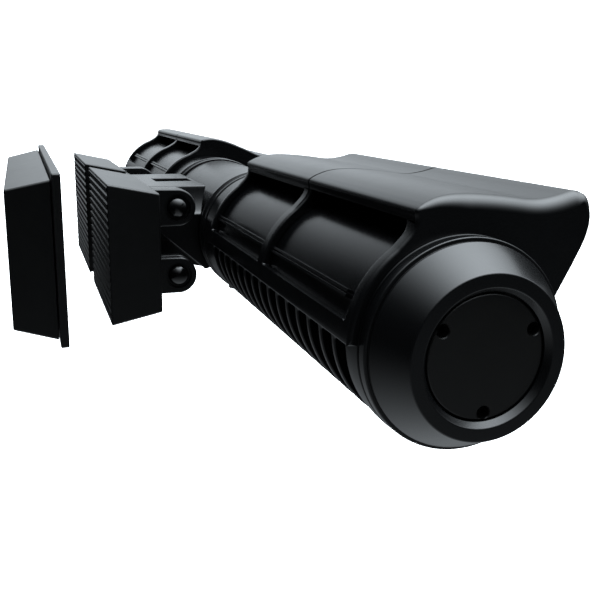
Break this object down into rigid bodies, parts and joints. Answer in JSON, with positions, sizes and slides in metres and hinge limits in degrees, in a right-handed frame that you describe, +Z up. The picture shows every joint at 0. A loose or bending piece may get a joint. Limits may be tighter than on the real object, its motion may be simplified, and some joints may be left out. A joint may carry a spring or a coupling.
{
  "type": "wave maker pump",
  "caption": "Cross-flow wave maker pump: central motor, two turnable intake cages with outlet hoods and round end caps, held through aquarium glass by a wet and a dry magnet.",
  "frame": {"origin": "centre of the wet rubber pads' rib crests, where they press on the tank glass", "axes": "+X along the rotor towards the near end, +Y away from the glass into the water, +Z up"},
  "size_m": [0.365, 0.1172, 0.0553],
  "materials": {
    "shell": "satin black moulded ABS",
    "hood": "semi-gloss black moulded ABS",
    "cover": "fine-grained satin black ABS",
    "case": "matt black ABS",
    "impeller": "matt dark grey plastic",
    "rubber": "black silicone rubber",
    "magnet": "nickel-plated magnet",
    "copper": "enamelled copper winding",
    "steel": "stainless steel",
    "ceramic": "polished white ceramic"
  },
  "bodies": {
    "holder": {"motor_housing": "shell", "stator": "copper", "rotor_can": "shell", "cable_gland": "rubber", "motor_cradle": "shell", "upper_cradle_screw": "steel", "lower_cradle_screw": "steel", "near_motor_end_plate": "shell", "near_motor_bush": "ceramic", "near_magnet_case": "case", "near_wet_magnet": "magnet", "near_pad": "rubber", "near_upper_damper": "rubber", "near_lower_damper": "rubber", "far_motor_end_plate": "shell", "far_motor_bush": "ceramic", "far_magnet_case": "case", "far_wet_magnet": "magnet", "far_pad": "rubber", "far_upper_damper": "rubber", "far_lower_damper": "rubber"},
    "near_cage": {"near_cage": "shell", "near_outer_hood": "hood", "near_inner_hood": "hood", "near_vane_guard": "shell", "near_lock_ring": "shell"},
    "far_cage": {"far_cage": "shell", "far_outer_hood": "hood", "far_inner_hood": "hood", "far_vane_guard": "shell", "far_lock_ring": "shell"},
    "rotor": {"drive_shaft": "ceramic", "rotor_magnet": "magnet", "near_impeller": "impeller", "near_coupling": "rubber", "far_impeller": "impeller", "far_coupling": "rubber"},
    "near_cap": {"near_end_cap": "shell", "near_bearing_cover": "cover", "near_end_bush": "ceramic"},
    "far_cap": {"far_end_cap": "shell", "far_bearing_cover": "cover", "far_end_bush": "ceramic"},
    "dry_side": {"dry_flange": "rubber", "dry_magnet_case": "case", "near_dry_magnet": "magnet", "far_dry_magnet": "magnet"}
  },
  "joints": [
    {"name": "near_cage_turn", "type": "hinge", "parent": "holder", "child": "near_cage", "pos_m": [0, 0.0556, -0.0009], "axis": [1, 0, 0], "range_deg": [-50, 40]},
    {"name": "far_cage_turn", "type": "hinge", "parent": "holder", "child": "far_cage", "pos_m": [0, 0.0556, -0.0009], "axis": [1, 0, 0], "range_deg": [-34, 56]},
    {"name": "rotor_spin", "type": "hinge", "parent": "holder", "child": "rotor", "pos_m": [0, 0.0556, -0.0009], "axis": [1, 0, 0], "continuous": true},
    {"name": "near_cap_twist", "type": "hinge", "parent": "near_cage", "child": "near_cap", "pos_m": [0, 0.0556, -0.0009], "axis": [1, 0, 0], "range_deg": [0, 25]},
    {"name": "far_cap_twist", "type": "hinge", "parent": "far_cage", "child": "far_cap", "pos_m": [0, 0.0556, -0.0009], "axis": [-1, 0, 0], "range_deg": [0, 25]},
    {"name": "dry_side_pull", "type": "slide", "parent": "holder", "child": "dry_side", "axis": [0, -1, 0], "range_m": [0, 0.06], "stiffness_N_per_m": 40, "springref_m": -0.1}
  ]
}
